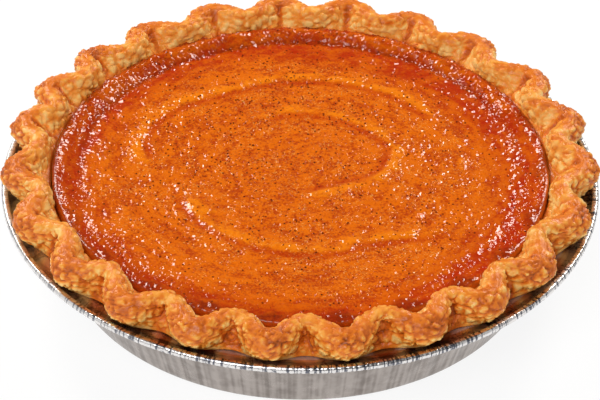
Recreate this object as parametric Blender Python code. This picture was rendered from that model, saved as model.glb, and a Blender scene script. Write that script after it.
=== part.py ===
# A sweet potato pie, whole and uncut, in its own foil pan.
# Metres, +Z up. The origin is the centre of the pan's underside, where the pie rests.
# Three nodes: pan (foil), crust (pastry shell with a crimped rim) and filling.

import math

import bmesh
import bpy

MM = 0.001
GAP = 0.3 * MM  # clearance kept between touching pieces

# foil pan
RIM_RADIUS = 122.0 * MM  # outside of the rolled bead
RIM_HEIGHT = 38.5 * MM  # top of the rolled bead
BEAD_RADIUS = 1.6 * MM
FOIL = 0.4 * MM
BASE_RADIUS = 96.9 * MM  # where the wall's line meets the table
WALL_LEAN = math.radians(17.4)  # from upright
CORNER_RADIUS = 3.0 * MM  # between the base and the wall, on the outside
FLANGE_DROP = 2.6 * MM  # flange's top face below the bead's top
PAN_SIDES = 72

# pastry shell
SHELL_FLOOR = 4.6 * MM  # thickness under the filling
SHELL_FLOOR_RADIUS = 92.0 * MM
SHELL_MOUTH_RADIUS = 101.8 * MM  # inner wall where the filling ends
SHELL_BEND = 34.0 * MM  # height where the inner wall turns upright
BEND_INSET = 0.3 * MM  # the bend stands this far inside the mouth
# rounding between the shell's floor and its wall: out past the floor radius, in from it, and up
FILLET_OUT = 0.6 * MM
FILLET_IN = 1.6 * MM
FILLET_RISE = 2.0 * MM

# crimped rim
SIDES_PER_CRIMP = 8
# the outward lobes, pressed by hand: where each stands in degrees, and its extra reach in millimetres
CRIMPS = [(-2, 0.6), (14, 0.0), (30.5, -0.2), (48.5, -0.8), (64.2, -1.4), (79.7, 0.0),
          (95.5, -0.6), (111, -0.6), (127, -0.4), (142.5, -0.2), (157, 0.9), (170, 1.0),
          (186.5, 0.8), (203, 0.9), (220, -0.1), (235.5, 1.0), (250, 0.8), (264.5, -0.2),
          (279, 0.5), (294.5, 0.5), (309, -0.2), (323.5, -0.2), (340.5, -0.2)]
# uneven height of the crimps: (waves round the pie, swing, start in degrees)
HEIGHT_WAVES = [(1, 0.35 * MM, 160.0), (5, 0.30 * MM, 20.0), (8, 0.25 * MM, 310.0)]
# Sections of the rim from its outer foot over the crest to its inner foot, in millimetres:
# radius at an outward lobe, height there, radius at an inward lobe, height there, sideways fan.
# Heights count from the top of the bead. The fan spreads the lobes on the outside
# and pinches them to notches on the inside.
RIM_SECTION = [
    (115.4, -2.3, 111.9, -2.3, 0.2),
    (118.4, 0.6, 110.6, 0.2, 1.0),
    (120.9, 3.6, 108.6, 3.0, 2.0),
    (121.6, 6.8, 107.6, 6.4, 3.0),
    (119.6, 9.9, 109.4, 9.4, 3.2),
    (116.2, 11.8, 109.2, 11.7, 1.6),
    (113.2, 11.8, 106.0, 12.8, -0.6),
    (111.2, 9.9, 103.0, 11.3, -2.2),
    (109.4, 7.6, 101.9, 8.2, -3.0),
    (106.8, 5.3, 101.8, 5.4, -2.8),
    (104.0, 3.6, 101.8, 3.8, -1.6),
    (101.8, 2.4, 101.8, 2.4, 0.0),
]
FAN_SHARE = 0.85
SECTION_RISE = 15.3 * MM  # from the flange to the crest, where unevenness is full

# filling
FILLING_LEVEL = 4.2 * MM  # middle of the top, above the bead's top
FILLING_SIDES = 80
SHOULDER_DROP = 0.6 * MM  # the filling's side turns upright this far below the bead's top
SHOULDER_INSET = 0.2 * MM
TOP_RADII = [101.2, 99.4, 96.4, 93.4, 90.4, 87.2, 83.0, 78.5, 73.5, 69.0, 65.5, 62.0,
             58.0, 53.0, 47.5, 42.0, 38.0, 33.0, 25.0, 14.0]
# ridges left by the spoon: height, half width, then angle and radius along the ridge
RIDGES = [
    (0.8, 4.6, [(184, 57), (173, 67), (150, 68), (124, 61), (98, 61.5), (71, 63), (49, 64.5), (31, 67.7)]),
    (0.8, 4.4, [(126, 36), (101, 37.7), (75, 37.4), (45, 38.2), (20, 40.5), (1.5, 37), (-12, 33.7),
                (-40, 23.4), (-71, 21.2), (-82, 22.2)]),
    (0.8, 4.6, [(-35, 71.8), (-49, 62.4), (-66, 54.6), (-73, 57.6), (-97, 56.4), (-119, 55),
                (-143, 52.8), (-152, 51)]),
    (0.4, 4.6, [(26, 68), (0, 66), (-14, 64)]),
    (0.3, 5.0, [(160, 80), (190, 77.5), (222, 76), (240, 77)]),
    (0.3, 4.6, [(198, 52), (214, 48), (232, 44)]),
]
# the puffed edge: radius, half width, height all round, extra height at the back
EDGE_BEAD = (96.4, 2.8, 0.9, 0.7)
EDGE_GROOVE = (90.4, 2.8, -0.8, -0.6)
EDGE_BAND = (86.0, 10.0, 0.8, 0.0)
EDGE_ROUND = (99.4, 1.8)  # where the edge starts to turn down, and over how much it drops a millimetre
# the side that has bead and groove, and the back: which way it looks in degrees, and how sharply it ends
BEAD_SIDE = (98.0, 2.6)
BACK_SIDE = (90.0, 5.0)
SIDE_BIAS = 0.2

FOIL_COLOUR = (0.66, 0.65, 0.63, 1.0)
CRUST_COLOUR = (0.62, 0.29, 0.09, 1.0)
FILLING_COLOUR = (0.58, 0.13, 0.012, 1.0)


def clear_scene():
    for item in list(bpy.data.objects):
        bpy.data.objects.remove(item, do_unlink=True)


def make_material(name, colour, roughness, metallic):
    material = bpy.data.materials.new(name)
    material.use_nodes = True
    shader = material.node_tree.nodes["Principled BSDF"]
    shader.inputs["Base Color"].default_value = colour
    shader.inputs["Roughness"].default_value = roughness
    shader.inputs["Metallic"].default_value = metallic
    return material


def lofted(name, rings, material, sharp_degrees):
    """One closed solid through rings of points, capped at the first and the last ring."""
    shape = bmesh.new()
    loops = [[shape.verts.new(point) for point in ring] for ring in rings]
    sides = len(rings[0])
    for lower, upper in zip(loops, loops[1:]):
        for k in range(sides):
            after = (k + 1) % sides
            shape.faces.new((lower[k], lower[after], upper[after], upper[k]))
    shape.faces.new(list(reversed(loops[0])))
    shape.faces.new(loops[-1])
    bmesh.ops.recalc_face_normals(shape, faces=shape.faces)
    mesh = bpy.data.meshes.new(name)
    shape.to_mesh(mesh)
    shape.free()
    mesh.shade_smooth()
    mesh.set_sharp_from_angle(angle=math.radians(sharp_degrees))
    mesh.materials.append(material)
    piece = bpy.data.objects.new(name, mesh)
    bpy.context.scene.collection.objects.link(piece)
    return piece


def circle(radius, height, sides):
    turn = 2.0 * math.pi / sides
    return [(radius * math.cos(k * turn), radius * math.sin(k * turn), height) for k in range(sides)]


def arc(centre, radius, start, end, steps):
    """Points (radius from the axis, height) along an arc, angles in degrees."""
    angles = [math.radians(start + (end - start) * k / steps) for k in range(steps + 1)]
    return [(centre[0] + radius * math.cos(a), centre[1] + radius * math.sin(a)) for a in angles]


def base_corner(inset):
    """The rounded corner between base and wall, moved inward from the pan's outside."""
    reach = CORNER_RADIUS * math.tan((math.pi / 2 - WALL_LEAN) / 2)
    centre = (BASE_RADIUS - reach, CORNER_RADIUS)
    return arc(centre, CORNER_RADIUS - inset, -90.0, -math.degrees(WALL_LEAN), 3)


def wall_radius(height, inset):
    return BASE_RADIUS + height * math.tan(WALL_LEAN) - inset / math.cos(WALL_LEAN)


def make_pan():
    bead = (RIM_RADIUS - BEAD_RADIUS, RIM_HEIGHT - BEAD_RADIUS)
    top = RIM_HEIGHT - FLANGE_DROP
    under = top - FOIL
    dip_in = 180.0 + math.degrees(math.asin((bead[1] - top) / BEAD_RADIUS))
    dip_under = 180.0 + math.degrees(math.asin((bead[1] - under) / BEAD_RADIUS))
    profile = base_corner(0.0)
    profile.append((wall_radius(under, 0.0), under))
    profile += arc(bead, BEAD_RADIUS, dip_under, 360.0 + dip_in, 8)
    profile.append((wall_radius(top, FOIL), top))
    profile += reversed(base_corner(FOIL))
    rings = [circle(radius, height, PAN_SIDES) for radius, height in profile]
    return lofted("pan", rings, make_material("foil", FOIL_COLOUR, 0.32, 1.0), 40.0)


def waves(angle, terms):
    return sum(swing * math.sin(count * angle + math.radians(start)) for count, swing, start in terms)


def between_crimps(position, column, turn):
    """A column of CRIMPS, smooth from crimp to crimp; a full round adds turn."""
    count = len(CRIMPS)
    index = math.floor(position)
    part = position - index
    near = [CRIMPS[(index + step) % count][column] + turn * ((index + step) // count)
            for step in (-1, 0, 1, 2)]
    slope_in = (near[2] - near[0]) / 2
    slope_out = (near[3] - near[1]) / 2
    rise = near[2] - near[1]
    bend = slope_in + slope_out - 2 * rise
    return near[1] + part * (slope_in + part * (3 * rise - 2 * slope_in - slope_out + part * bend))


def crust_columns():
    """Angle, phase (0 at an outward lobe, pi at an inward one) and extra reach of each side."""
    columns = []
    for k in range(len(CRIMPS) * SIDES_PER_CRIMP):
        position = k / SIDES_PER_CRIMP
        angle = math.radians(between_crimps(position, 0, 360.0))
        columns.append((angle, 2.0 * math.pi * position, between_crimps(position, 1, 0.0) * MM))
    return columns


def rim_ring(section, columns):
    """One ring of the crimped rim, for one line of RIM_SECTION."""
    lobe_radius, lobe_height, dip_radius, dip_height, fan = [value * MM for value in section]
    share_up = max(0.0, lobe_height + FLANGE_DROP) / SECTION_RISE
    ring = []
    for angle, phase, reach in columns:
        lobe = 0.5 + 0.5 * math.cos(phase)
        radius = dip_radius + (lobe_radius - dip_radius) * lobe + reach * share_up
        height = dip_height + (lobe_height - dip_height) * lobe
        height += waves(angle, HEIGHT_WAVES) * share_up
        angle += fan * math.sin(phase) * FAN_SHARE / radius
        ring.append((radius * math.cos(angle), radius * math.sin(angle), RIM_HEIGHT + height))
    return ring


def make_crust():
    columns = crust_columns()

    def plain(radius, height):
        return [(radius * math.cos(column[0]), radius * math.sin(column[0]), height) for column in columns]

    shelf = RIM_HEIGHT - FLANGE_DROP + GAP
    inset = FOIL + GAP
    rings = [plain(radius, height) for radius, height in base_corner(inset)]
    rings.append(plain(wall_radius(shelf, inset), shelf))
    rings += [rim_ring(section, columns) for section in RIM_SECTION]
    rings.append(plain(SHELL_MOUTH_RADIUS - BEND_INSET, SHELL_BEND))
    floor = FOIL + GAP + SHELL_FLOOR
    rings.append(plain(SHELL_FLOOR_RADIUS + FILLET_OUT, floor + FILLET_RISE))
    rings.append(plain(SHELL_FLOOR_RADIUS - FILLET_IN, floor))
    return lofted("crust", rings, make_material("pastry", CRUST_COLOUR, 0.6, 0.0), 50.0)


def ridge_height(x, y, ridge):
    """Height that one ridge adds at a place on the filling; all in millimetres."""
    height, half_width, path = ridge
    line = [(radius * math.cos(math.radians(angle)), radius * math.sin(math.radians(angle)))
            for angle, radius in path]
    away = math.inf
    for (start_x, start_y), (end_x, end_y) in zip(line, line[1:]):
        along_x = end_x - start_x
        along_y = end_y - start_y
        part = ((x - start_x) * along_x + (y - start_y) * along_y) / (along_x ** 2 + along_y ** 2)
        part = min(1.0, max(0.0, part))
        away = min(away, math.hypot(x - start_x - part * along_x, y - start_y - part * along_y))
    return height * math.exp(-(away / half_width) ** 2)


def facing(angle, side):
    """1 where the pie's edge looks to that side, 0 on the other."""
    degrees, sharpness = side
    return 0.5 + 0.5 * math.tanh(sharpness * (math.cos(angle - math.radians(degrees)) - SIDE_BIAS))


def swelling(radius, shape, back):
    place, half_width, height, height_at_back = shape
    return (height + height_at_back * back) * math.exp(-((radius - place) / half_width) ** 2)


def edge_height(angle, radius):
    """The puffed edge: a bead and a groove along the back left, a wide band elsewhere."""
    beaded = facing(angle, BEAD_SIDE)
    back = facing(angle, BACK_SIDE)
    bead = swelling(radius, EDGE_BEAD, back) + swelling(radius, EDGE_GROOVE, back)
    turned_down = max(0.0, (radius - EDGE_ROUND[0]) / EDGE_ROUND[1]) ** 2
    return beaded * bead + (1.0 - beaded) * swelling(radius, EDGE_BAND, back) - turned_down


def make_filling():
    floor = FOIL + GAP + SHELL_FLOOR + GAP
    sides = FILLING_SIDES
    rings = [
        circle(SHELL_FLOOR_RADIUS - FILLET_IN - GAP, floor, sides),
        circle(SHELL_FLOOR_RADIUS + FILLET_OUT - GAP, floor + FILLET_RISE, sides),
        circle(SHELL_MOUTH_RADIUS - BEND_INSET - GAP, SHELL_BEND, sides),
        circle(SHELL_MOUTH_RADIUS - GAP - SHOULDER_INSET, RIM_HEIGHT - SHOULDER_DROP, sides),
    ]
    for radius in TOP_RADII:
        ring = []
        for x, y, level in circle(radius * MM, RIM_HEIGHT + FILLING_LEVEL, sides):
            height = sum(ridge_height(x / MM, y / MM, ridge) for ridge in RIDGES)
            height += edge_height(math.atan2(y, x), radius)
            ring.append((x, y, level + height * MM))
        rings.append(ring)
    return lofted("filling", rings, make_material("custard", FILLING_COLOUR, 0.3, 0.0), 50.0)


clear_scene()
make_pan()
make_crust()
make_filling()
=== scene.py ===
import math
import bpy
import numpy as np
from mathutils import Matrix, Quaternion, Vector


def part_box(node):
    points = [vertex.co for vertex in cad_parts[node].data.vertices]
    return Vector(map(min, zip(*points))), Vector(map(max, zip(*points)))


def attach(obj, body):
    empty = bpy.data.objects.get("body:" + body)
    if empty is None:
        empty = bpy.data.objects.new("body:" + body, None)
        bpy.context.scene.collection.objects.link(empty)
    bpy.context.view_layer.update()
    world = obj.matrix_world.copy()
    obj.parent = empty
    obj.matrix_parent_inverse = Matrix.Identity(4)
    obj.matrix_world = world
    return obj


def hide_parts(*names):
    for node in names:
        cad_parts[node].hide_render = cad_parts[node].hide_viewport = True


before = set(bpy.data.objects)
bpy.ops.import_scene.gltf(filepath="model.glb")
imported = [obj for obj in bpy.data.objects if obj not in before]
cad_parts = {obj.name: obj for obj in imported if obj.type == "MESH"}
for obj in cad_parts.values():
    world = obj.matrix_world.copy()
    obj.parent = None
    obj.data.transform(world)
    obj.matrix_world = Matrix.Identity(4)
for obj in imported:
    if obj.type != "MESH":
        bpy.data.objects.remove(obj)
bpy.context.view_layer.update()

# The looks of a sweet potato pie in its foil pan: pan, crust, filling and spice specks.
# Metres, +Z up, the pie's axis on Z. Angles count from +X, so the front is at 270 degrees.
# The rim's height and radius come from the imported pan.

mm = 0.001
pieBody = "root"
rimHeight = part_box("pan")[1].z  # top of the pan's rolled bead
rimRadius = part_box("pan")[1].x
gap = 0.3 * mm  # between touching pieces


class Wires:
    # lays nodes in a tree; an input takes a number, a colour or another node's output
    def __init__(self, tree):
        self.tree = tree

    def feed(self, socket, value):
        if isinstance(value, bpy.types.NodeSocket):
            self.tree.links.new(value, socket)
        else:
            socket.default_value = value

    def put(self, kind, inputs=None, **settings):
        node = self.tree.nodes.new(kind)
        for name, value in settings.items():
            setattr(node, name, value)
        for socket, value in (inputs or {}).items():
            self.feed(node.inputs[socket], value)
        return node

    def sums(self, operation, *values):
        node = self.put("ShaderNodeMath", operation=operation)
        for socket, value in zip(node.inputs, values):
            self.feed(socket, value)
        return node.outputs[0]

    def plus(self, a, b):
        return self.sums("ADD", a, b)

    def minus(self, a, b):
        return self.sums("SUBTRACT", a, b)

    def times(self, a, b):
        return self.sums("MULTIPLY", a, b)

    def ramp(self, value, low, high, outLow=0.0, outHigh=1.0):
        # eased from outLow to outHigh while value runs from low to high
        inputs = {"Value": value, "From Min": low, "From Max": high, "To Min": outLow, "To Max": outHigh}
        return self.put("ShaderNodeMapRange", inputs, interpolation_type="SMOOTHSTEP").outputs["Result"]

    def noise(self, place, size, detail=2.0, roughness=0.5, distortion=0.0):
        inputs = {"Vector": place, "Scale": 1.0 / size, "Detail": detail,
                  "Roughness": roughness, "Distortion": distortion}
        return self.put("ShaderNodeTexNoise", inputs).outputs[0]

    def cells(self, place, size):
        # how far each point is from the border of its cell
        inputs = {"Vector": place, "Scale": 1.0 / size}
        return self.put("ShaderNodeTexVoronoi", inputs, feature="DISTANCE_TO_EDGE").outputs["Distance"]

    def stretched(self, place, factors):
        return self.put("ShaderNodeVectorMath", {0: place, 1: factors}, operation="MULTIPLY").outputs[0]

    def mixed(self, share, first, second):
        node = self.put("ShaderNodeMix", data_type="RGBA")
        self.feed(node.inputs["Factor"], share)
        self.feed(node.inputs["A"], first)
        self.feed(node.inputs["B"], second)
        return node.outputs["Result"]


def paint(red, green, blue):
    # a colour as mixed on screen (0 to 255), in the linear numbers the shader takes
    def linear(level):
        level /= 255.0
        return level / 12.92 if level < 0.04045 else ((level + 0.055) / 1.055) ** 2.4
    return (linear(red), linear(green), linear(blue), 1.0)


def openTree(name, sizes):
    tree = bpy.data.node_groups.new(name, "GeometryNodeTree")
    tree.interface.new_socket(name="Geometry", in_out="INPUT", socket_type="NodeSocketGeometry")
    for label, value in sizes.items():
        kind = "NodeSocketInt" if isinstance(value, int) else "NodeSocketFloat"
        tree.interface.new_socket(name=label, in_out="INPUT", socket_type=kind).default_value = value
    tree.interface.new_socket(name="Geometry", in_out="OUTPUT", socket_type="NodeSocketGeometry")
    wires = Wires(tree)
    entry = wires.put("NodeGroupInput")
    return tree, wires, entry


def closeTree(wires, shape, material):
    # instances made real, the material set
    real = wires.put("GeometryNodeRealizeInstances", {"Geometry": shape})
    painted = wires.put("GeometryNodeSetMaterial", {"Geometry": real.outputs[0], "Material": material})
    wires.put("NodeGroupOutput", {"Geometry": painted.outputs[0]})


def pushed(wires, shape, height):
    # every point moved along its normal
    normal = wires.put("GeometryNodeInputNormal").outputs[0]
    offset = wires.put("ShaderNodeVectorMath", {0: normal, "Scale": height}, operation="SCALE").outputs[0]
    return wires.put("GeometryNodeSetPosition", {"Geometry": shape, "Offset": offset}).outputs[0]


def kept(wires, shape, name, value):
    # a value stored on the points, for the material
    inputs = {"Geometry": shape, "Name": name}
    node = wires.put("GeometryNodeStoreNamedAttribute", inputs, data_type="FLOAT")
    wires.feed([s for s in node.inputs if s.name == "Value" and s.enabled][0], value)
    return node.outputs[0]


def stored(wires, name):
    node = wires.put("GeometryNodeInputNamedAttribute", {"Name": name}, data_type="FLOAT")
    return node.outputs["Attribute"]


def grown(source, tree, sizes, name):
    # the tree's result as an ordinary mesh; the source goes away
    modifier = source.modifiers.new("grow", "NODES")
    modifier.node_group = tree
    for item in tree.interface.items_tree:
        if item.item_type == "SOCKET" and item.in_out == "INPUT" and item.name in sizes:
            modifier[item.identifier] = sizes[item.name]
    depsgraph = bpy.context.evaluated_depsgraph_get()
    finished = source.evaluated_get(depsgraph)
    mesh = bpy.data.meshes.new_from_object(finished, preserve_all_data_layers=True, depsgraph=depsgraph)
    bpy.data.objects.remove(source)
    mesh.name = name
    piece = bpy.data.objects.new(name, mesh)
    bpy.context.scene.collection.objects.link(piece)
    return piece


def joinRings(name, rings, marks):
    # one closed skin through rings of points, neighbours may differ in count
    # marks are values kept per point
    points = np.concatenate(rings)
    starts = np.cumsum([0] + [len(ring) for ring in rings])
    faces = []
    for k in range(len(rings) - 1):
        low, high = starts[k], starts[k + 1]
        countLow, countHigh = len(rings[k]), len(rings[k + 1])
        if countLow == countHigh:
            for i in range(countLow):
                j = (i + 1) % countLow
                faces.append((low + i, low + j, high + j, high + i))
            continue
        i = j = 0
        while i < countLow or j < countHigh:
            if j >= countHigh or (i < countLow and (i + 1) * countHigh <= (j + 1) * countLow):
                faces.append((low + i, low + (i + 1) % countLow, high + j % countHigh))
                i += 1
            else:
                faces.append((low + i % countLow, high + (j + 1) % countHigh, high + j))
                j += 1
    faces.append(tuple(range(starts[1] - 1, -1, -1)))
    faces.append(tuple(range(starts[-2], starts[-1])))
    mesh = bpy.data.meshes.new(name)
    mesh.from_pydata(points.tolist(), [], faces)
    for label, values in marks.items():
        mesh.attributes.new(label, "FLOAT", "POINT").data.foreach_set("value", np.concatenate(values))
    mesh.validate()
    mesh.shade_smooth()
    carrier = bpy.data.objects.new(name + "Carrier", mesh)
    bpy.context.scene.collection.objects.link(carrier)
    return carrier


def ringAt(angles, radius, height):
    return np.stack([radius * np.cos(angles), radius * np.sin(angles), height + 0.0 * angles], axis=1)


def turnOf(count):
    return np.arange(count) * (2.0 * math.pi / count)


def facing(angles, degrees, narrow):
    # 1 where the pie's edge looks that way, 0 on the other side
    return 0.5 + 0.5 * np.tanh(narrow * (np.cos(angles - math.radians(degrees)) - 0.2))


def arcPoints(centre, radius, start, end, steps):
    angles = np.radians(np.linspace(start, end, steps + 1))
    return [(centre[0] + radius * math.cos(a), centre[1] + radius * math.sin(a)) for a in angles]


def smoothThrough(points, steps):
    # Catmull-Rom through rows of numbers, steps rows for each stretch
    points = np.array(points, float)
    padded = np.concatenate([2 * points[:1] - points[1:2], points, 2 * points[-1:] - points[-2:-1]])
    rows = []
    for k in range(len(points) - 1):
        a, b, c, d = padded[k:k + 4]
        for t in np.arange(steps) / steps:
            rows.append(b + 0.5 * t * (c - a + t * (2 * a - 5 * b + 4 * c - d + t * (3 * (b - c) + d - a))))
    rows.append(points[-1])
    return np.array(rows)


def openGroup(name, inputs, output):
    # a pattern that several materials share: numbers in, one mask or height out
    group = bpy.data.node_groups.new(name, "ShaderNodeTree")
    for label, value in inputs.items():
        socket = group.interface.new_socket(name=label, in_out="INPUT", socket_type="NodeSocketFloat")
        socket.default_value = value
    group.interface.new_socket(name=output, in_out="OUTPUT", socket_type="NodeSocketFloat")
    wires = Wires(group)
    return group, wires, wires.put("NodeGroupInput").outputs


def makeMottle():
    # soft uneven patches; Size in metres, Contrast narrows the step between light and dark
    group, wires, given = openGroup("mottle", {"Size": 0.01, "Contrast": 0.5, "Shift": 0.0}, "Mask")
    place = wires.put("ShaderNodeTexCoord").outputs["Object"]
    moved = wires.put("ShaderNodeVectorMath", {0: place, 1: given["Shift"]}, operation="ADD").outputs[0]
    scale = wires.sums("DIVIDE", 1.0, given["Size"])
    inputs = {"Vector": moved, "Scale": scale, "Detail": 3.0, "Roughness": 0.55}
    noise = wires.put("ShaderNodeTexNoise", inputs)
    half = wires.times(wires.minus(1.0, given["Contrast"]), 0.25)
    mask = wires.ramp(noise.outputs[0], wires.minus(0.5, half), wires.plus(0.5, half))
    wires.put("NodeGroupOutput", {"Mask": mask})
    return group


def makeGrain():
    # fine bumps of one size, as a height from 0 to 1
    group, wires, given = openGroup("grain", {"Size": 0.001}, "Height")
    place = wires.put("ShaderNodeTexCoord").outputs["Object"]
    scale = wires.sums("DIVIDE", 1.0, given["Size"])
    inputs = {"Vector": place, "Scale": scale, "Detail": 0.6, "Roughness": 0.5}
    noise = wires.put("ShaderNodeTexNoise", inputs)
    wires.put("NodeGroupOutput", {"Height": wires.ramp(noise.outputs[0], 0.28, 0.72)})
    return group


mottle = makeMottle()
grain = makeGrain()


def openMaterial(name, **constants):
    material = bpy.data.materials.new(name)
    material.use_nodes = True
    wires = Wires(material.node_tree)
    shader = material.node_tree.nodes["Principled BSDF"]
    for label, value in constants.items():
        shader.inputs[label.replace("_", " ")].default_value = value
    return material, wires, shader


def patches(wires, size, contrast, shift=0.0):
    node = wires.put("ShaderNodeGroup", node_tree=mottle)
    for label, value in {"Size": size, "Contrast": contrast, "Shift": shift}.items():
        wires.feed(node.inputs[label], value)
    return node.outputs["Mask"]


def bumps(wires, size):
    node = wires.put("ShaderNodeGroup", node_tree=grain)
    node.inputs["Size"].default_value = size
    return node.outputs["Height"]


def roughened(wires, shader, height, strength, distance):
    # the shader's normal shaken by a height
    inputs = {"Height": height, "Strength": strength, "Distance": distance}
    wires.feed(shader.inputs["Normal"], wires.put("ShaderNodeBump", inputs).outputs[0])


def marked(wires, name):
    return wires.put("ShaderNodeAttribute", attribute_name=name).outputs["Fac"]


foilPan = {
    "beadRadius": 1.6 * mm,
    "foil": 0.4 * mm,
    "baseRadius": 96.9 * mm,
    "wallLean": math.radians(17.4),
    "cornerRadius": 3.0 * mm,
    "flangeDrop": 2.6 * mm,
    "sides": 1560,
    "hiddenSides": 190,
    "wallRows": 24,
    "cornerSteps": 5,
    "rollSteps": 14,
    "hemStep": 9,  # the step of the roll that has the hem line
    "hemDepth": 0.35 * mm,  # the line where the rolled edge meets itself
    "rimBand": 3.4 * mm,  # the bead's width, counted inwards from the rim
    "crimpDepth": 0.9 * mm,  # fine pinches across the bead and the flange
    "crimpWidth": 0.75 * mm,
    "crowdWidth": 5 * mm,  # how far apart the pinches crowd
    "pressedSide": 300.0,  # front right, in degrees: deepest pinches, darkest painted shade in them, most painted crust reflection on the flange
    "pleatDepth": 0.7 * mm,  # soft folds down the wall
    "broadPleat": 4.5 * mm,
    "thinPleat": 1.8 * mm,
    "dentDepth": 0.16 * mm,
    "dentWidth": 7 * mm,
    # light and dark: painted reflection and shade of the pleats down the wall
    "light": paint(174, 165, 159),
    "dark": paint(132, 123, 117),
    # greasy: painted reflection of the crust on the flange, with painted shadow under the crust
    "reflectedCrustBrown": paint(142, 84, 34),
    # groove: painted dark reflection in the pinches; paintedGleam: a painted gleam on the bead and along
    # the top of the wall
    "groove": paint(104, 106, 116),
    "paintedGleam": paint(236, 233, 231),
}


def makeFoilMaterial():
    material, wires, shader = openMaterial("crimpedFoil")
    names = ("crimp", "pleat", "gleamBand", "side", "flange", "pinchDepthAndShade")
    crimp, pleat, gleamBand, side, flange, pinchDepthAndShade = [marked(wires, name) for name in names]
    # the wall: streaks down the pleats, painted reflection and shade of the folds mixed with random patches
    streak = wires.plus(wires.times(pleat, 0.6), wires.times(patches(wires, 6 * mm, 0.0), 0.4))
    wallStreaksAndShade = wires.mixed(wires.ramp(streak, 0.1, 0.85), foilPan["dark"], foilPan["light"])
    # the rim: a painted bright reflection on the bead, with painted dark reflection and shade in the
    # pinches
    crumpled = wires.plus(crimp, wires.times(wires.minus(patches(wires, 1.1 * mm, 0.0, 4.0), 0.5), 0.1))
    pinchShade = wires.times(wires.ramp(crumpled, 0.42, 0.5, 1.0, 0.0), pinchDepthAndShade)
    rimGleamAndShade = wires.mixed(pinchShade, foilPan["paintedGleam"], foilPan["groove"])
    colour = wires.mixed(side, rimGleamAndShade, wallStreaksAndShade)
    # painted reflection of the crust on the flange, darker as painted shadow under it
    reflectedCrustShare = wires.times(flange, wires.ramp(crimp, 0.45, 0.55, 1.0, 0.72))
    reflectedCrustShare = wires.times(reflectedCrustShare, wires.ramp(patches(wires, 8 * mm, 0.2, 2.0), 0.0, 1.0, 0.75, 1.0))
    reflectedCrustShare = wires.times(reflectedCrustShare, wires.ramp(pinchDepthAndShade, 0.35, 1.0, 0.45, 1.0))
    colour = wires.mixed(reflectedCrustShare, colour, foilPan["reflectedCrustBrown"])
    # a painted highlight along the top of the wall, under the bead
    wires.feed(shader.inputs["Base Color"], wires.mixed(gleamBand, colour, foilPan["paintedGleam"]))
    # on the pressed side, the inner part of the flange is duller than plain metal
    wires.feed(shader.inputs["Metallic"], wires.ramp(flange, 0.82, 1.0, 1.0, 0.45))
    rough = wires.ramp(patches(wires, 14 * mm, 0.3, 3.0), 0.0, 1.0, 0.26, 0.38)
    wires.feed(shader.inputs["Roughness"], rough)
    roughened(wires, shader, bumps(wires, 2.5 * mm), 0.35, 0.2 * mm)
    return material


def panWall(height, inset):
    # radius and height on the leaning wall, inset from its outside
    lean = foilPan["wallLean"]
    return (foilPan["baseRadius"] + height * math.tan(lean) - inset / math.cos(lean), height)


def panCorner(inset, steps):
    # the round corner between base and wall
    lean, corner = foilPan["wallLean"], foilPan["cornerRadius"]
    reach = corner * math.tan((math.pi / 2 - lean) / 2)
    centre = (foilPan["baseRadius"] - reach, corner)
    return arcPoints(centre, corner - inset, -90.0, -math.degrees(lean), steps)


def panProfile():
    # from the edge of the base up the wall, round the bead and back down inside
    pan = foilPan
    foil, rows, hem = pan["foil"], pan["wallRows"], pan["hemStep"]
    bead = (rimRadius - pan["beadRadius"], rimHeight - pan["beadRadius"])
    top = rimHeight - pan["flangeDrop"]
    under = top - foil
    dipIn = 180.0 + math.degrees(math.asin((bead[1] - top) / pan["beadRadius"]))
    dipUnder = 180.0 + math.degrees(math.asin((bead[1] - under) / pan["beadRadius"]))
    points = panCorner(0.0, pan["cornerSteps"])
    low = points[-1][1]
    points += [panWall(low + (under - low) * k / rows, 0.0) for k in range(1, rows + 1)]
    roll = arcPoints(bead, pan["beadRadius"], dipUnder, 360.0 + dipIn, pan["rollSteps"])
    roll[hem] = (roll[hem][0], roll[hem][1] - pan["hemDepth"])
    points += roll
    points.append(((points[-1][0] + panWall(top, foil)[0]) / 2, top))
    points.append(panWall(top, foil))
    points += reversed(panCorner(foil, pan["cornerSteps"]))
    return points


def foilTree(material):
    tree, wires, entry = openTree("foilCrimps", {"crimpDepth": 0.0, "pleatDepth": 0.0, "dentDepth": 0.0})
    given = entry.outputs
    place = wires.put("GeometryNodeInputPosition").outputs[0]
    parts = wires.put("ShaderNodeSeparateXYZ", {0: place}).outputs
    angle = wires.sums("ARCTAN2", parts["Y"], parts["X"])

    def alongRim(size):
        # a noise that changes only along the rim, so its lines run across it
        circle = wires.put("ShaderNodeCombineXYZ", {
            "X": wires.times(wires.sums("COSINE", angle), rimRadius),
            "Y": wires.times(wires.sums("SINE", angle), rimRadius),
        }).outputs[0]
        return wires.noise(circle, size, 1.0)

    # fine pinches, crowded in places
    crimp = wires.plus(wires.times(alongRim(foilPan["crimpWidth"]), 0.8),
                       wires.times(alongRim(foilPan["crowdWidth"]), 0.2))
    # pleats of two widths: both in the colour as painted light and shade, the broad ones alone in the shape
    broad = alongRim(foilPan["broadPleat"])
    thin = alongRim(foilPan["thinPleat"])
    pleat = wires.plus(wires.times(broad, 0.4), wires.times(thin, 0.6))
    dents = wires.minus(wires.noise(place, foilPan["dentWidth"], 3.0), 0.5)
    onWall = stored(wires, "wall")
    height = wires.times(wires.minus(crimp, 0.64), wires.times(given["crimpDepth"], stored(wires, "rim")))
    folded = wires.times(wires.minus(broad, 0.5), given["pleatDepth"])
    dented = wires.times(dents, given["dentDepth"])
    height = wires.plus(height, wires.times(wires.plus(folded, dented), onWall))
    shape = kept(wires, given["Geometry"], "crimp", crimp)
    shape = kept(wires, shape, "pleat", wires.ramp(pleat, 0.28, 0.72))
    shape = pushed(wires, shape, height)
    closeTree(wires, shape, material)
    return tree


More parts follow.
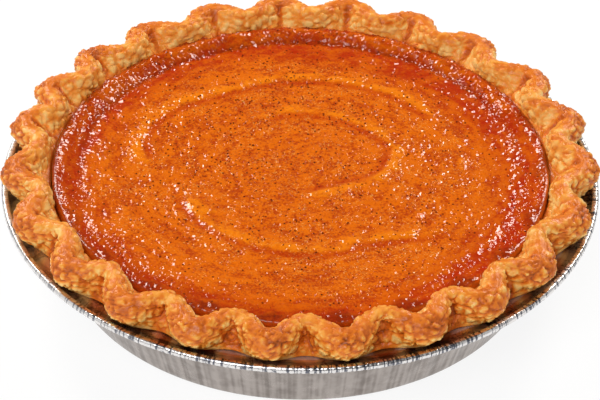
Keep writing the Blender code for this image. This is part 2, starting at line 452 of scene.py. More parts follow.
def makeFoilPan():
    pan = foilPan
    rings, rim, wall, side, gleamBand, flange, pinchDepthAndShade = [], [], [], [], [], [], []
    top = rimHeight - pan["flangeDrop"]
    lastOutside = pan["cornerSteps"] + pan["wallRows"] + pan["rollSteps"] + 1
    for number, (radius, height) in enumerate(panProfile()):
        inside = number > lastOutside
        hidden = inside or height < pan["foil"]
        count = pan["hiddenSides"] if hidden else pan["sides"]
        angles = turnOf(count)
        behindBead = radius < rimRadius - pan["rimBand"]
        onBead = 0.0 if inside else max(0.0, min(1.0, (radius - rimRadius + pan["rimBand"]) / (1.2 * mm)))
        onFlange = 0.7 if number >= lastOutside and height > top - 0.1 * mm else 0.0
        # the pleats fade out near the base and under the flange
        share = 0.0 if inside else max(0.0, min(1.0, height / (8 * mm), (top - height) / (2 * mm)))
        onWall = 1.0 if not inside and height < top - 0.6 * mm and behindBead else 0.0
        onRing = 1.0 if onFlange and behindBead else 0.0
        rings.append(ringAt(angles, radius, height))
        # towards the front right: deeper pinches, and darker painted shade in them
        pinchDepthAndShade.append(0.35 + 0.65 * facing(angles, pan["pressedSide"], 3.0))
        rim.append(max(onBead, onFlange) * (0.3 + 0.7 * pinchDepthAndShade[-1]))
        wall.append(np.full(count, share))
        side.append(np.full(count, onWall))
        # the band under the bead that gets the painted highlight
        gleamBand.append(np.full(count, onWall * max(0.0, 1.0 - (top - height) / (3 * mm))))
        flange.append(onRing * (0.3 + 0.7 * facing(angles, pan["pressedSide"], 2.0)))
    carrier = joinRings("foilPan", rings, {"rim": rim, "wall": wall, "side": side, "gleamBand": gleamBand,
                                           "flange": flange, "pinchDepthAndShade": pinchDepthAndShade})
    tree = foilTree(makeFoilMaterial())
    sizes = {key: pan[key] for key in ("crimpDepth", "pleatDepth", "dentDepth")}
    piece = grown(carrier, tree, sizes, "foilPan")
    return settle(piece, "pan")


def settle(piece, node):
    # the finished piece rides the pie's body and stands for a solid, if it has one
    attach(piece, pieBody)
    if node:
        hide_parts(node)
    print(piece.name, len(piece.data.polygons), "faces")
    return piece


crust = {
    # the outward lobes, pressed by hand: where each stands in degrees, and its extra reach in mm
    "crimps": [(-2, 0.6), (14, 0.0), (30.5, -0.2), (48.5, -0.8), (64.2, -1.4), (79.7, 0.0), (95.5, -0.6),
               (111, -0.6), (127, -0.4), (142.5, -0.2), (157, 0.9), (170, 1.0), (186.5, 0.8), (203, 0.9),
               (220, -0.1), (235.5, 1.0), (250, 0.8), (264.5, -0.2), (279, 0.5), (294.5, 0.5), (309, -0.2),
               (323.5, -0.2), (340.5, -0.2)],
    "columnsPerCrimp": 54,
    "rowsPerStretch": 7,
    "hiddenColumns": 184,
    # uneven height round the pie: how many waves, swing, start in degrees
    "heightWaves": [(1, 0.35 * mm, 160.0), (5, 0.30 * mm, 20.0), (8, 0.25 * mm, 310.0)],
    # outer foot over the crest to the inner foot, in mm: radius and height at an outward lobe,
    # radius and height at an inward lobe, sideways fan; heights from the top of the bead
    "section": [
        (115.4, -2.3, 111.9, -2.3, 0.2),
        (118.4, 0.6, 110.6, 0.2, 1.0),
        (120.9, 3.6, 108.6, 3.0, 2.0),
        (121.6, 6.8, 107.6, 6.4, 3.0),
        (119.6, 9.9, 109.4, 9.4, 3.2),
        (116.2, 11.8, 109.2, 11.7, 1.6),
        (113.2, 11.8, 106.0, 12.8, -0.6),
        (111.2, 9.9, 103.0, 11.3, -2.2),
        (109.4, 7.6, 101.9, 8.2, -3.0),
        (106.8, 5.3, 101.8, 5.4, -2.8),
        (104.0, 3.6, 101.8, 3.8, -1.6),
        (101.8, 2.4, 101.8, 2.4, 0.0),
    ],
    "fanShare": 0.85,
    "sectionRise": 15.3 * mm,
    "mouthRadius": 101.8 * mm,
    "bendHeight": 34.0 * mm,
    "floorThickness": 4.6 * mm,
    "floorRadius": 92.0 * mm,
    "blister": 1.6 * mm,
    "bigBlister": 4.3 * mm,  # widths of the two sizes outside, and of the ones inside
    "smallBlister": 2.5 * mm,
    "innerBlister": 4.2 * mm,
    "lump": 1.1 * mm,
    "lumpWidth": 9 * mm,
    "fold": 0.6 * mm,
    "foldWidth": 6.5 * mm,
    "cream": paint(255, 206, 120),
    "gold": paint(249, 163, 62),
    "amber": paint(232, 124, 32),
    "brown": paint(204, 98, 22),
    "dark": paint(158, 76, 18),
    "oily": paint(196, 96, 18),
}


def waves(angles, terms):
    return sum(swing * np.sin(count * angles + math.radians(start)) for count, swing, start in terms)


def betweenCrimps(positions, column, turn):
    # a column of the crimp table, smooth from crimp to crimp; a full round adds turn
    marks = np.array([row[column] for row in crust["crimps"]], float)
    count = len(marks)
    index = np.floor(positions).astype(int)
    part = positions - index
    near = [marks[(index + k) % count] + turn * ((index + k) // count) for k in (-1, 0, 1, 2)]
    before, start, end, after = near
    slopeIn, slopeOut, rise = (end - before) / 2, (after - start) / 2, end - start
    bend = slopeIn + slopeOut - 2 * rise
    return start + part * (slopeIn + part * (3 * rise - 2 * slopeIn - slopeOut + part * bend))


def rimRing(section, columns):
    positions = np.arange(columns) * len(crust["crimps"]) / columns
    angles = np.radians(betweenCrimps(positions, 0, 360.0))
    phase = 2.0 * math.pi * positions
    lobeRadius, lobeHeight, dipRadius, dipHeight, fan = [value * mm for value in section]
    up = max(0.0, lobeHeight + foilPan["flangeDrop"]) / crust["sectionRise"]
    lobe = 0.5 + 0.5 * np.cos(phase)
    radius = dipRadius + (lobeRadius - dipRadius) * lobe + betweenCrimps(positions, 1, 0.0) * mm * up
    height = dipHeight + (lobeHeight - dipHeight) * lobe + waves(angles, crust["heightWaves"]) * up
    angles = angles + fan * np.sin(phase) * crust["fanShare"] / radius
    ring = np.stack([radius * np.cos(angles), radius * np.sin(angles), rimHeight + height], axis=1)
    return ring, lobe


def warpedPlace(wires, place, size, reach):
    # the place shaken by a noise, so that cells come out uneven
    shake = wires.put("ShaderNodeTexNoise", {"Vector": place, "Scale": 1.0 / size}).outputs["Color"]
    shift = wires.stretched(shake, (reach, reach, reach))
    return wires.put("ShaderNodeVectorMath", {0: place, 1: shift}, operation="ADD").outputs[0]


def crustTree(material):
    tree, wires, entry = openTree("crustRelief", {"blister": 0.0, "lump": 0.0, "fold": 0.0})
    given = entry.outputs
    place = wires.put("GeometryNodeInputPosition").outputs[0]
    shown, lobe, across = [stored(wires, name) for name in ("shown", "lobe", "across")]
    # lumps: soft swellings of the rolled edge
    lumps = wires.minus(wires.noise(place, crust["lumpWidth"], 1.0), 0.5)
    # blisters: rounded cobbles of two sizes, in patches, thickest on the outward lobes and the crest
    warped = warpedPlace(wires, place, 3 * mm, 2.4 * mm)
    big = wires.ramp(wires.cells(warped, crust["bigBlister"]), -0.02, 0.22)
    small = wires.ramp(wires.cells(warped, crust["smallBlister"]), -0.02, 0.24)
    soft = wires.ramp(wires.cells(warped, crust["innerBlister"]), -0.04, 0.26)
    inner = wires.ramp(across, 0.46, 0.6)
    cobbles = wires.plus(wires.times(big, 0.66), wires.times(small, 0.34))
    cobbles = wires.plus(wires.times(cobbles, wires.minus(1.0, inner)), wires.times(soft, inner))
    outer = wires.times(wires.ramp(across, 0.02, 0.08), wires.ramp(across, 0.36, 0.5, 1.0, 0.0))
    outer = wires.times(outer, wires.ramp(lobe, 0.1, 0.5, 0.85, 1.0))
    inside = wires.times(wires.ramp(across, 0.36, 0.5), wires.ramp(across, 0.52, 0.66, 0.3, 0.75))
    rough = wires.plus(outer, inside)
    area = wires.times(rough, wires.ramp(wires.noise(place, 9 * mm, 2.0), 0.3, 0.5, 0.45, 1.0))
    # folds: long wrinkles where layers of dough part
    crease = wires.noise(warpedPlace(wires, place, 8 * mm, 4 * mm), crust["foldWidth"], 1.0)
    crease = wires.ramp(wires.sums("ABSOLUTE", wires.minus(crease, 0.5)), 0.0, 0.05, 1.0, 0.0)
    crease = wires.times(crease, wires.ramp(wires.noise(place, 13 * mm, 1.0), 0.45, 0.6))
    height = wires.times(lumps, given["lump"])
    raised = wires.times(wires.minus(cobbles, 0.7), area)
    height = wires.plus(height, wires.times(raised, given["blister"]))
    height = wires.minus(height, wires.times(crease, given["fold"]))
    shape = kept(wires, given["Geometry"], "cobble", cobbles)
    shape = kept(wires, shape, "area", area)
    shape = kept(wires, shape, "crease", crease)
    shape = pushed(wires, shape, wires.times(height, shown))
    closeTree(wires, shape, material)
    return tree


def makePastryMaterial():
    material, wires, shader = openMaterial("bakedPastry", IOR=1.38)
    names = ("lobe", "across", "cobble", "area", "crease")
    lobe, across, cobble, area, crease = [marked(wires, name) for name in names]
    # paler inside, browned over the crest and the outward lobes
    outer = wires.times(wires.ramp(across, 0.12, 0.34), wires.ramp(across, 0.47, 0.64, 1.0, 0.0))
    crest = wires.times(wires.ramp(across, 0.42, 0.54), wires.ramp(across, 0.6, 0.74, 1.0, 0.0))
    # notch: the inner face behind an outward lobe; pocket: the outside between two lobes; both darker, part
    # browning and part painted shade of the recess
    notch = wires.times(wires.ramp(lobe, 0.88, 1.0), wires.ramp(across, 0.53, 0.64))
    notch = wires.times(notch, wires.ramp(across, 0.72, 0.94, 1.0, 0.3))
    pocketBrownAndShade = wires.times(wires.ramp(lobe, 0.05, 0.4, 1.0, 0.0), wires.ramp(across, 0.26, 0.4, 1.0, 0.0))
    pocketBrownAndShade = wires.times(pocketBrownAndShade, wires.ramp(patches(wires, 3 * mm, 0.2, 6.0), 0.0, 1.0, 0.5, 1.0))
    browningAndShade = wires.plus(wires.times(wires.times(outer, lobe), 0.54), wires.times(crest, 0.28))
    browningAndShade = wires.plus(browningAndShade, wires.plus(wires.times(notch, 0.78), wires.times(pocketBrownAndShade, 0.8)))
    browningAndShade = wires.plus(browningAndShade, wires.times(wires.minus(patches(wires, 4 * mm, 0.0), 0.5), 0.55))
    # darker between the cobbles: browning, and painted shade in the creases
    creased = wires.times(wires.minus(0.72, cobble), area)
    browningAndShade = wires.plus(browningAndShade, wires.times(creased, wires.ramp(across, 0.46, 0.6, 1.35, 0.42)))
    browningAndShade = wires.plus(browningAndShade, wires.times(wires.ramp(across, 0.82, 0.94), 0.3))
    # darker along the folds: browning, and painted shade in the creases
    browningAndShade = wires.plus(browningAndShade, wires.times(crease, 0.35))
    colour = wires.mixed(wires.ramp(browningAndShade, -0.15, 0.25), crust["cream"], crust["gold"])
    colour = wires.mixed(wires.ramp(browningAndShade, 0.2, 0.6), colour, crust["amber"])
    colour = wires.mixed(wires.ramp(browningAndShade, 0.6, 1.0), colour, crust["brown"])
    colour = wires.mixed(wires.ramp(browningAndShade, 1.0, 1.5), colour, crust["dark"])
    colour = wires.mixed(wires.ramp(across, 0.93, 0.99), colour, crust["oily"])
    wires.feed(shader.inputs["Base Color"], colour)
    rough = wires.ramp(patches(wires, 4 * mm, 0.2, 5.0), 0.0, 1.0, 0.3, 0.46)
    wires.feed(shader.inputs["Roughness"], rough)
    roughened(wires, shader, bumps(wires, 0.9 * mm), 0.4, 0.15 * mm)
    return material


def shellInside(clearance):
    # radius and height down the shell's hidden inner face, from its bend to its floor
    floor = foilPan["foil"] + gap + crust["floorThickness"] + clearance
    return [(crust["mouthRadius"] - 0.3 * mm - clearance, crust["bendHeight"]),
            (crust["floorRadius"] + 0.6 * mm - clearance, floor + 2.0 * mm),
            (crust["floorRadius"] - 1.6 * mm - clearance, floor)]


def makeCrust():
    few = crust["hiddenColumns"]
    columns = len(crust["crimps"]) * crust["columnsPerCrimp"]
    inset = foilPan["foil"] + gap
    profile = panCorner(inset, 3)
    profile.append(panWall(rimHeight - foilPan["flangeDrop"] + gap, inset))
    hiddenAngles = np.radians(betweenCrimps(np.arange(few) * len(crust["crimps"]) / few, 0, 360.0))
    rings = [ringAt(hiddenAngles, radius, height) for radius, height in profile]
    marks = {name: [np.zeros(few) for ring in rings] for name in ("shown", "lobe", "across")}
    sections = smoothThrough(crust["section"], crust["rowsPerStretch"])
    for number, section in enumerate(sections):
        ring, lobe = rimRing(section, columns)
        across = number / (len(sections) - 1)
        rings.append(ring)
        # the relief fades out at both feet
        marks["shown"].append(np.full(columns, min(1.0, across / 0.06, (1.0 - across) / 0.08)))
        marks["lobe"].append(lobe)
        marks["across"].append(np.full(columns, across))
    for radius, height in shellInside(0.0):
        rings.append(ringAt(hiddenAngles, radius, height))
        for values in marks.values():
            values.append(np.zeros(few))
    carrier = joinRings("pieCrust", rings, marks)
    tree = crustTree(makePastryMaterial())
    sizes = {key: crust[key] for key in ("blister", "lump", "fold")}
    piece = grown(carrier, tree, sizes, "pieCrust")
    return settle(piece, "crust")


filling = {
    "level": 4.2 * mm,  # middle of the top, above the bead's top
    "spacing": 0.64 * mm,
    "hiddenSides": 160,
    "edgeRadius": 101.2 * mm,
    # radius and half width in mm of the raised edge, the groove inside it and the low band elsewhere
    "edgeBead": (96.4, 2.8),
    "edgeGroove": (90.4, 2.8),
    "edgeBand": (86.0, 10.0),
    "roundFrom": 100.2,  # mm, where the edge starts to turn down
    # ridges left by the spoon: height, half width outward and inward in mm,
    # then angle and radius along it
    "ridges": [
        (1.0, 4.6, 2.0, [(184, 57), (173, 67), (150, 68), (124, 61), (98, 61.5), (71, 63), (49, 64.5),
                         (36, 65.2), (31, 67.7)]),
        (1.0, 4.4, 1.9, [(126, 36), (101, 37.7), (75, 37.4), (45, 38.2), (20, 40.5), (1.5, 37), (-12, 33.7),
                         (-40, 23.4), (-71, 21.2), (-82, 22.2)]),
        (1.0, 2.2, 4.6, [(-35, 71.8), (-49, 62.4), (-66, 54.6), (-73, 57.6), (-97, 56.4), (-119, 55),
                         (-143, 52.8), (-152, 51)]),
        (0.5, 3.0, 3.4, [(26, 68), (0, 66), (-14, 64)]),
        (0.4, 4.0, 5.0, [(160, 80), (190, 77.5), (222, 76), (240, 77)]),
        (0.3, 2.5, 3.6, [(198, 52), (214, 48), (232, 44)]),
    ],
    "ridge": 0.78 * mm,
    "stirRadius": 34 * mm,  # from here out, patterns are drawn into arcs
    "streakWidth": 3.0 * mm,
    "flow": 0.6 * mm,
    "flowWidth": 8 * mm,
    "pebble": 0.22 * mm,
    "pebbleWidth": 1.3 * mm,
    "clot": 0.9 * mm,
    "clotWidth": 5 * mm,
    "bubble": 0.42 * mm,
    "bubbleWidth": 2.4 * mm,
    "wrinkle": 0.28 * mm,
    "wrinkleWidth": 2.4 * mm,
    "body": paint(233, 111, 1),
    "deep": paint(186, 63, 0),
    "glintPaint": paint(255, 190, 92),
    "litCrestOrange": paint(252, 138, 8),
    "red": paint(185, 44, 0),
    "burntAndShade": paint(138, 40, 0),
    "oily": paint(244, 150, 36),
}


def ridgeShares(x, y):
    # how much of a spoon ridge stands at each point, and how much painted shade lies beside its steeper
    # side, from 0 to 1
    total = np.zeros(len(x))
    ridgeShade = np.zeros(len(x))
    for height, outward, inward, path in filling["ridges"]:
        polar = smoothThrough(path, 6)
        px = polar[:, 1] * np.cos(np.radians(polar[:, 0]))
        py = polar[:, 1] * np.sin(np.radians(polar[:, 0]))
        best = np.full(len(x), 1e9)
        along = np.zeros(len(x))
        outside = np.zeros(len(x), bool)
        for k in range(len(px) - 1):
            dx, dy = px[k + 1] - px[k], py[k + 1] - py[k]
            t = np.clip(((x - px[k]) * dx + (y - py[k]) * dy) / (dx * dx + dy * dy), 0, 1)
            away = np.hypot(x - px[k] - t * dx, y - py[k] - t * dy)
            nearer = away < best
            along = np.where(nearer, (k + t) / (len(px) - 1), along)
            outside = np.where(nearer, dx * (y - py[k]) - dy * (x - px[k]) > 0, outside)
            best = np.minimum(best, away)
        taper = np.clip(np.minimum(along, 1 - along) / 0.12, 0.0, 1.0)
        width = np.where(outside, outward, inward) * (0.6 + 0.4 * taper)
        total += height * np.sqrt(taper) * np.exp(-((best / width) ** 2))
        steep = outside == (outward < inward)
        ridgeShade += steep * height * taper * np.exp(-(((best - 3.4) / 1.6) ** 2))
    return np.minimum(total, 1.0), np.minimum(ridgeShade, 1.0)


def swelling(reach, centre, width):
    return math.exp(-((reach - centre) / width) ** 2)


def edgeHeights(angles, reach):
    # in mm: a bead and a groove along the back, a low band elsewhere, the very edge turned down
    beaded = facing(angles, 98.0, 2.6)
    back = facing(angles, 90.0, 5.0)
    bead = (0.9 + 0.7 * back) * swelling(reach, *filling["edgeBead"])
    groove = -(0.8 + 0.6 * back) * swelling(reach, *filling["edgeGroove"])
    band = 0.8 * swelling(reach, *filling["edgeBand"])
    # waves of two lengths, so that the edge doesn't shine as one even line
    uneven = 1.0 + 0.35 * np.sin(13.0 * angles) + 0.3 * np.sin(31.0 * angles + 1.0)
    roundEdge = -uneven * max(0.0, reach - filling["roundFrom"]) ** 2
    return beaded * (bead + groove) + (1.0 - beaded) * band + roundEdge


def fillingTree(material):
    sizes = {"pebble": 0.0, "bubble": 0.0, "wrinkle": 0.0, "flow": 0.0, "ridge": 0.0, "clot": 0.0}
    tree, wires, entry = openTree("fillingRelief", sizes)
    given = entry.outputs
    place = wires.put("GeometryNodeInputPosition").outputs[0]
    parts = wires.put("ShaderNodeSeparateXYZ", {0: place}).outputs
    shown, rim, wet, ridge = [stored(wires, name) for name in ("shown", "rim", "wet", "ridge")]
    # outside the middle, the stirring draws patterns out into arcs
    squares = wires.plus(wires.times(parts["X"], parts["X"]), wires.times(parts["Y"], parts["Y"]))
    reach = wires.sums("SQRT", squares)
    inward = wires.sums("DIVIDE", filling["stirRadius"], wires.sums("MAXIMUM", reach, 1 * mm))
    inward = wires.sums("MINIMUM", 1.0, inward)
    stirred = wires.put("ShaderNodeCombineXYZ", {
        "X": wires.times(parts["X"], inward),
        "Y": wires.times(parts["Y"], inward),
        "Z": reach,
    }).outputs[0]
    streak = wires.noise(stirred, filling["streakWidth"], 3.0, 0.6)
    flows = wires.minus(wires.noise(stirred, filling["flowWidth"], 1.0), 0.5)
    pebbles = wires.ramp(wires.noise(place, filling["pebbleWidth"], 1.0, 0.5, 0.6), 0.3, 0.7)
    bubbles = wires.ramp(wires.noise(place, filling["bubbleWidth"], 1.0, 0.6, 0.8), 0.3, 0.7)
    clusters = wires.times(wires.ramp(wires.noise(stirred, 5 * mm, 2.0), 0.38, 0.54), wet)
    creased = wires.noise(warpedPlace(wires, place, 4 * mm, 3 * mm), filling["wrinkleWidth"], 1.0)
    creased = wires.ramp(wires.sums("ABSOLUTE", wires.minus(creased, 0.5)), 0.0, 0.12)
    uneven = wires.ramp(wires.noise(place, 7 * mm, 2.0), 0.3, 0.7, 0.45, 1.15)
    crest = wires.times(ridge, uneven)
    clots = wires.minus(wires.noise(place, filling["clotWidth"], 2.0), 0.5)
    height = wires.times(wires.times(pebbles, wires.minus(1.0, wires.times(rim, 0.35))), given["pebble"])
    clots = wires.times(wires.times(clots, rim), wires.plus(0.25, wires.times(wet, 0.75)))
    height = wires.plus(height, wires.times(clots, given["clot"]))
    height = wires.plus(height, wires.times(wires.times(bubbles, clusters), given["bubble"]))
    height = wires.plus(height, wires.times(wires.times(creased, wires.times(rim, wet)), given["wrinkle"]))
    height = wires.plus(height, wires.times(flows, given["flow"]))
    height = wires.plus(height, wires.times(crest, given["ridge"]))
    shape = kept(wires, given["Geometry"], "streak", wires.plus(streak, wires.times(flows, 0.6)))
    shape = kept(wires, shape, "pebbles", pebbles)
    shape = kept(wires, shape, "crest", crest)
    shape = pushed(wires, shape, wires.times(height, shown))
    closeTree(wires, shape, material)
    return tree


def makeCustardMaterial():
    material, wires, shader = openMaterial("bakedCustard", IOR=1.5)
    names = ("streak", "pebbles", "crest", "ridgeShade", "rim", "burntAndShade", "wet", "dry", "oily")
    streak, pebbles, crest, ridgeShade, rim, burntAndShade, wet, dry, oily = [marked(wires, name) for name in names]
    # random streaks and patches of tone, plus painted shade in the pits between pebbles and painted light
    # on their tops
    toneAndPebbleShade = wires.plus(wires.ramp(streak, 0.3, 0.7), wires.times(patches(wires, 0.9 * mm, 0.2), 1.1))
    toneAndPebbleShade = wires.plus(toneAndPebbleShade, wires.times(wires.minus(pebbles, 0.5), 0.5))
    colour = wires.mixed(wires.ramp(toneAndPebbleShade, 0.1, 1.6), filling["deep"], filling["body"])
    # painted glints: small bright cream dots
    paintedGlints = wires.ramp(patches(wires, 0.7 * mm, 0.3, 11.0), 0.75, 1.0, 0.0, 0.5)
    paintedGlints = wires.times(paintedGlints, wires.ramp(patches(wires, 7 * mm, 0.2, 12.0), 0.35, 0.9, 0.15, 1.0))
    colour = wires.mixed(wires.times(paintedGlints, wires.minus(1.0, rim)), colour, filling["glintPaint"])
    # ridge crests lighter orange: partly a paler colour, partly painted highlight
    crestHighlight = wires.times(crest, wires.ramp(patches(wires, 2 * mm, 0.0, 4.0), 0.0, 1.0, 0.5, 1.0))
    colour = wires.mixed(wires.ramp(crestHighlight, 0.18, 0.68, 0.0, 0.75), colour, filling["litCrestOrange"])
    # painted shade: red beside the steeper side of each ridge
    colour = wires.mixed(wires.times(ridgeShade, 0.5), colour, filling["red"])
    rimShare = wires.times(rim, wires.ramp(streak, 0.35, 0.65, 1.0, 0.55))
    rimShare = wires.times(rimShare, wires.ramp(patches(wires, 3 * mm, 0.2, 9.0), 0.0, 1.0, 0.62, 1.0))
    # burnt colour, with painted shade in the seam under the crust and in the groove
    burntAndShade = wires.times(burntAndShade, wires.ramp(patches(wires, 2.2 * mm, 0.3, 7.0), 0.0, 1.0, 0.6, 1.0))
    colour = wires.mixed(rimShare, colour, filling["red"])
    colour = wires.mixed(burntAndShade, colour, filling["burntAndShade"])
    # oily: a fatty caramel line at the edge, lightened further as a painted glint
    colour = wires.mixed(oily, colour, filling["oily"])
    wires.feed(shader.inputs["Base Color"], colour)
    rough = wires.ramp(patches(wires, 3 * mm, 0.2, 5.0), 0.0, 1.0, 0.06, 0.13)
    wires.feed(shader.inputs["Roughness"], wires.plus(rough, wires.times(dry, 0.3)))
    fine = wires.times(bumps(wires, 1.1 * mm), wires.ramp(rim, 0.0, 1.0, 1.0, 0.6))
    fine = wires.times(fine, wires.ramp(wet, 0.0, 1.0, 1.0, 0.62))
    roughened(wires, shader, fine, 1.0, 0.11 * mm)
    return material


def lobeShare(angles):
    # 1 beside an outward lobe of the crust, 0 beside an inward one
    positions = np.arange(-2.0, len(crust["crimps"]) + 2.0, 0.05)
    places = np.radians(betweenCrimps(positions, 0, 360.0))
    return 0.5 + 0.5 * np.cos(2.0 * math.pi * np.interp(angles, places, positions))


def grows(reach, start, end):
    # from 0 to 1 while the radius in mm runs from start to end
    return np.interp(reach, [start, end], [0.0, 1.0])


def fillingMarks(angles, radius, ring):
    # what the relief and the colour need to know at each point of one ring
    reach = radius / mm
    right = facing(angles, 20.0, 3.5)
    left = facing(angles, 195.0, 3.0)
    front = facing(angles, 270.0, 2.0)
    behind = facing(angles, 105.0, 2.2)
    ridge, ridgeShade = ridgeShares(ring[:, 0] / mm, ring[:, 1] / mm)
    # red from here out: furthest in at the right, least at the front; less red on the raised edge's top, as
    # painted light
    redFrom = 82.0 - 9.0 * right - 4.0 * left + 6.0 * front - 5.0 * facing(angles, 90.0, 4.0)
    paintedBeadLight = 0.45 * behind * swelling(reach, 95.5, 2.4)
    # burnt beside the outward lobes and at the left; in the seam under the crust and in the groove, painted
    # shade in the burnt colour
    notch = np.clip((reach - 99.0 + 6.0 * lobeShare(angles)) / 4.0, 0, 1)
    notch = notch * (0.35 + 0.65 * front)
    seam = (0.85 - 0.3 * right) * grows(reach, 98.0, 99.6)
    groove = 0.9 * behind * swelling(reach, filling["edgeGroove"][0], 2.2)
    browned = 0.4 * left * grows(reach, 88.0, 96.0)
    # wettest at both sides and along the raised edge
    wetSides = np.interp(reach, [24.0, 44.0, 82.0, 94.0], [0.0, 1.0, 0.9, 0.1])
    wetSides = wetSides * np.maximum(left, right)
    wetBack = 2.0 * facing(angles, 88.0, 4.5) * grows(reach, 84.0, 90.0)
    return {
        "shown": np.full(len(angles), min(1.0, (filling["edgeRadius"] - radius) / (0.8 * mm))),
        "rim": np.clip((reach - redFrom) / 12.0, 0, 1) * (1.0 - paintedBeadLight),
        "ridge": ridge,
        "ridgeShade": ridgeShade,
        "burntAndShade": np.maximum.reduce([notch, seam, groove, browned]),
        "wet": np.maximum.reduce([wetSides, wetBack, 1.2 * notch * front]),
        "dry": (1.0 - 0.8 * front) * grows(reach, 99.2, 100.2),
        "oily": (0.1 + 0.3 * right) * grows(reach, 100.4, 100.9),
    }


def makeFilling():
    few = filling["hiddenSides"]
    rings = []
    marks = {name: [] for name in ("shown", "rim", "ridge", "ridgeShade", "burntAndShade", "wet", "dry", "oily")}
    hidden = [(radius, height, few) for radius, height in reversed(shellInside(gap))]
    hidden.append((crust["mouthRadius"] - gap - 0.2 * mm, rimHeight - 0.6 * mm, 2 * few))
    for radius, height, count in hidden:
        rings.append(ringAt(turnOf(count), radius, height))
        for values in marks.values():
            values.append(np.zeros(count))
    # the top, ring by ring from the edge to the middle
    radius = filling["edgeRadius"]
    while radius > 1.5 * mm:
        count = max(8, round(2.0 * math.pi * radius / filling["spacing"] / 4) * 4)
        angles = turnOf(count)
        ring = ringAt(angles, radius, rimHeight + filling["level"])
        ring[:, 2] += edgeHeights(angles, radius / mm) * mm
        rings.append(ring)
        for name, values in fillingMarks(angles, radius, ring).items():
            marks[name].append(values)
        radius -= filling["spacing"] * 0.9
    carrier = joinRings("pieFilling", rings, marks)
    tree = fillingTree(makeCustardMaterial())
    sizes = {key: filling[key] for key in ("pebble", "bubble", "wrinkle", "flow", "ridge", "clot")}
    piece = grown(carrier, tree, sizes, "pieFilling")
    return settle(piece, "filling")


specks = {
    "perSquareMetre": 170000.0,
    "radius": 0.25 * mm,
    "smallest": 0.5,  # against the radius above
    "largest": 1.9,
    "seed": 7,
    "dark": paint(96, 30, 4),
    "brown": paint(150, 56, 6),
}


def makeSpecks(fillingPiece):
    material, wires, shader = openMaterial("groundSpice", Roughness=0.8, Specular_IOR_Level=0.1)
    colour = wires.mixed(patches(wires, 1.5 * mm, 0.3, 8.0), specks["dark"], specks["brown"])
    wires.feed(shader.inputs["Base Color"], colour)
    tree, wires, entry = openTree("spiceSpecks", {"density": 1.0, "radius": 0.0002, "seed": 1})
    given = entry.outputs
    place = wires.put("GeometryNodeInputPosition").outputs[0]
    top = wires.sums("GREATER_THAN", stored(wires, "shown"), 0.5)
    # gathered in drifts, and thickest a little behind the middle
    gather = wires.ramp(wires.noise(place, 30 * mm, 1.0), 0.35, 0.65, 0.3, 1.0)
    middle = wires.put("ShaderNodeVectorMath", {0: place, 1: (0.0, 20 * mm, 40 * mm)}, operation="DISTANCE")
    gather = wires.times(gather, wires.ramp(middle.outputs["Value"], 40 * mm, 90 * mm, 1.0, 0.35))
    density = wires.times(wires.times(top, gather), given["density"])
    inputs = {"Mesh": given["Geometry"], "Density": density, "Seed": given["seed"]}
    points = wires.put("GeometryNodeDistributePointsOnFaces", inputs)
    grainShape = wires.put("GeometryNodeMeshIcoSphere", {"Radius": given["radius"], "Subdivisions": 1})
    sizes = wires.put("FunctionNodeRandomValue", {"Seed": given["seed"]}, data_type="FLOAT")
    sizes.inputs[2].default_value = specks["smallest"]
    sizes.inputs[3].default_value = specks["largest"]
    spread = wires.put("GeometryNodeInstanceOnPoints", {"Points": points.outputs["Points"],
                                                       "Instance": grainShape.outputs["Mesh"],
                                                       "Scale": sizes.outputs[1]})
    closeTree(wires, spread.outputs[0], material)
    source = bpy.data.objects.new("speckCarrier", fillingPiece.data)
    bpy.context.scene.collection.objects.link(source)
    piece = grown(source, tree, {"density": specks["perSquareMetre"], "radius": specks["radius"],
                                 "seed": specks["seed"]}, "spiceSpecks")
    return settle(piece, None)


studio = {
    "floorSize": 8.0,
    "floorTone": paint(110, 110, 110),
    "floorShade": paint(104, 104, 104),
    "floorGlow": 0.86,
    "worldLight": 0.08,
    "backdropGlow": 0.85,  # added where the backdrop is seen itself
    # name, place, width, height, power in watts
    "lamps": [
        ("softLeftBack", (-0.62, 0.86, 0.86), 0.42, 0.42, 7.8),
        ("softRightBack", (0.62, 0.86, 0.86), 0.42, 0.42, 7.8),
        ("softFront", (-0.5, -1.5, 1.6), 1.4, 1.0, 27.0),
        ("softLeft", (-2.0, -0.3, 1.1), 2.6, 2.0, 11.0),
        ("softRight", (2.0, -0.3, 1.1), 2.6, 2.0, 8.0),
    ],
    "warmth": (1.0, 0.94, 0.86),
    # the camera: metres from the rim's middle, then degrees, the lens in its own mm
    "distance": 0.976,
    "elevation": 36.46,
    "aimDrop": 0.66,
    "roll": 0.95,
    "lens": 143.0,
}


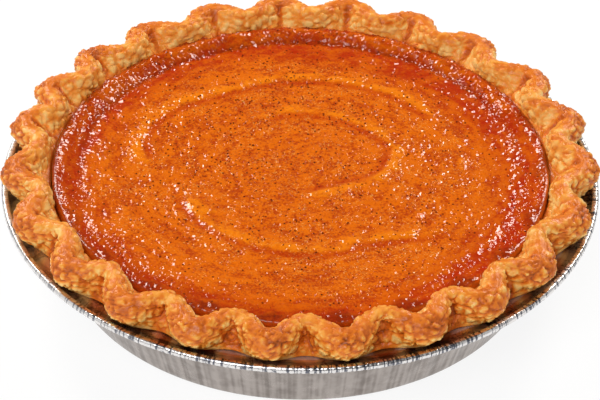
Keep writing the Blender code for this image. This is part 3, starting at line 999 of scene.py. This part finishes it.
def makeFloor():
    half = studio["floorSize"] / 2
    mesh = bpy.data.meshes.new("floor")
    corners = [(-half, -half, 0), (half, -half, 0), (half, half, 0), (-half, half, 0)]
    mesh.from_pydata(corners, [], [(0, 1, 2, 3)])
    floor = bpy.data.objects.new("floor", mesh)
    bpy.context.scene.collection.objects.link(floor)
    material, wires, shader = openMaterial("paleFloor", Roughness=0.9)
    tone = wires.mixed(patches(wires, 0.4, 0.0), studio["floorTone"], studio["floorShade"])
    wires.feed(shader.inputs["Base Color"], tone)
    shader.inputs["Emission Color"].default_value = (1.0, 1.0, 1.0, 1.0)
    shader.inputs["Emission Strength"].default_value = studio["floorGlow"]
    mesh.materials.append(material)


def makeLights():
    world = bpy.data.worlds.new("studio")
    world.use_nodes = True
    wires = Wires(world.node_tree)
    background = world.node_tree.nodes["Background"]
    background.inputs["Color"].default_value = (1.0, 1.0, 1.0, 1.0)
    # white where it is seen past the floor, faint as a light
    seen = wires.put("ShaderNodeLightPath").outputs["Is Camera Ray"]
    strength = wires.plus(studio["worldLight"], wires.times(seen, studio["backdropGlow"]))
    wires.feed(background.inputs["Strength"], strength)
    bpy.context.scene.world = world
    for name, place, width, height, power in studio["lamps"]:
        light = bpy.data.lights.new(name, "AREA")
        light.shape = "RECTANGLE"
        light.size, light.size_y, light.energy = width, height, power
        light.color = studio["warmth"] if "Back" in name else (1.0, 1.0, 1.0)
        lamp = bpy.data.objects.new(name, light)
        lamp.location = place
        towardsPie = Vector((0, 0, rimHeight)) - Vector(place)
        lamp.rotation_euler = towardsPie.to_track_quat("-Z", "Y").to_euler()
        bpy.context.scene.collection.objects.link(lamp)


def makeCamera():
    lens = bpy.data.cameras.new("camera")
    lens.lens = studio["lens"]
    camera = bpy.data.objects.new("camera", lens)
    tilt = math.radians(studio["elevation"])
    back = Vector((0.0, -math.cos(tilt), math.sin(tilt)))
    camera.location = Vector((0, 0, rimHeight)) + back * studio["distance"]
    camera.rotation_mode = "QUATERNION"
    aim = (-back).to_track_quat("-Z", "Y")
    drop = Quaternion((1, 0, 0), -math.radians(studio["aimDrop"]))
    roll = Quaternion((0, 0, 1), math.radians(studio["roll"]))
    camera.rotation_quaternion = aim @ drop @ roll
    bpy.context.scene.collection.objects.link(camera)
    bpy.context.scene.camera = camera


makeCamera()
makeLights()
makeFloor()
bpy.context.scene.view_settings.view_transform = "Standard"
print("stage set")
makeFoilPan()
makeCrust()
fillingPiece = makeFilling()
makeSpecks(fillingPiece)
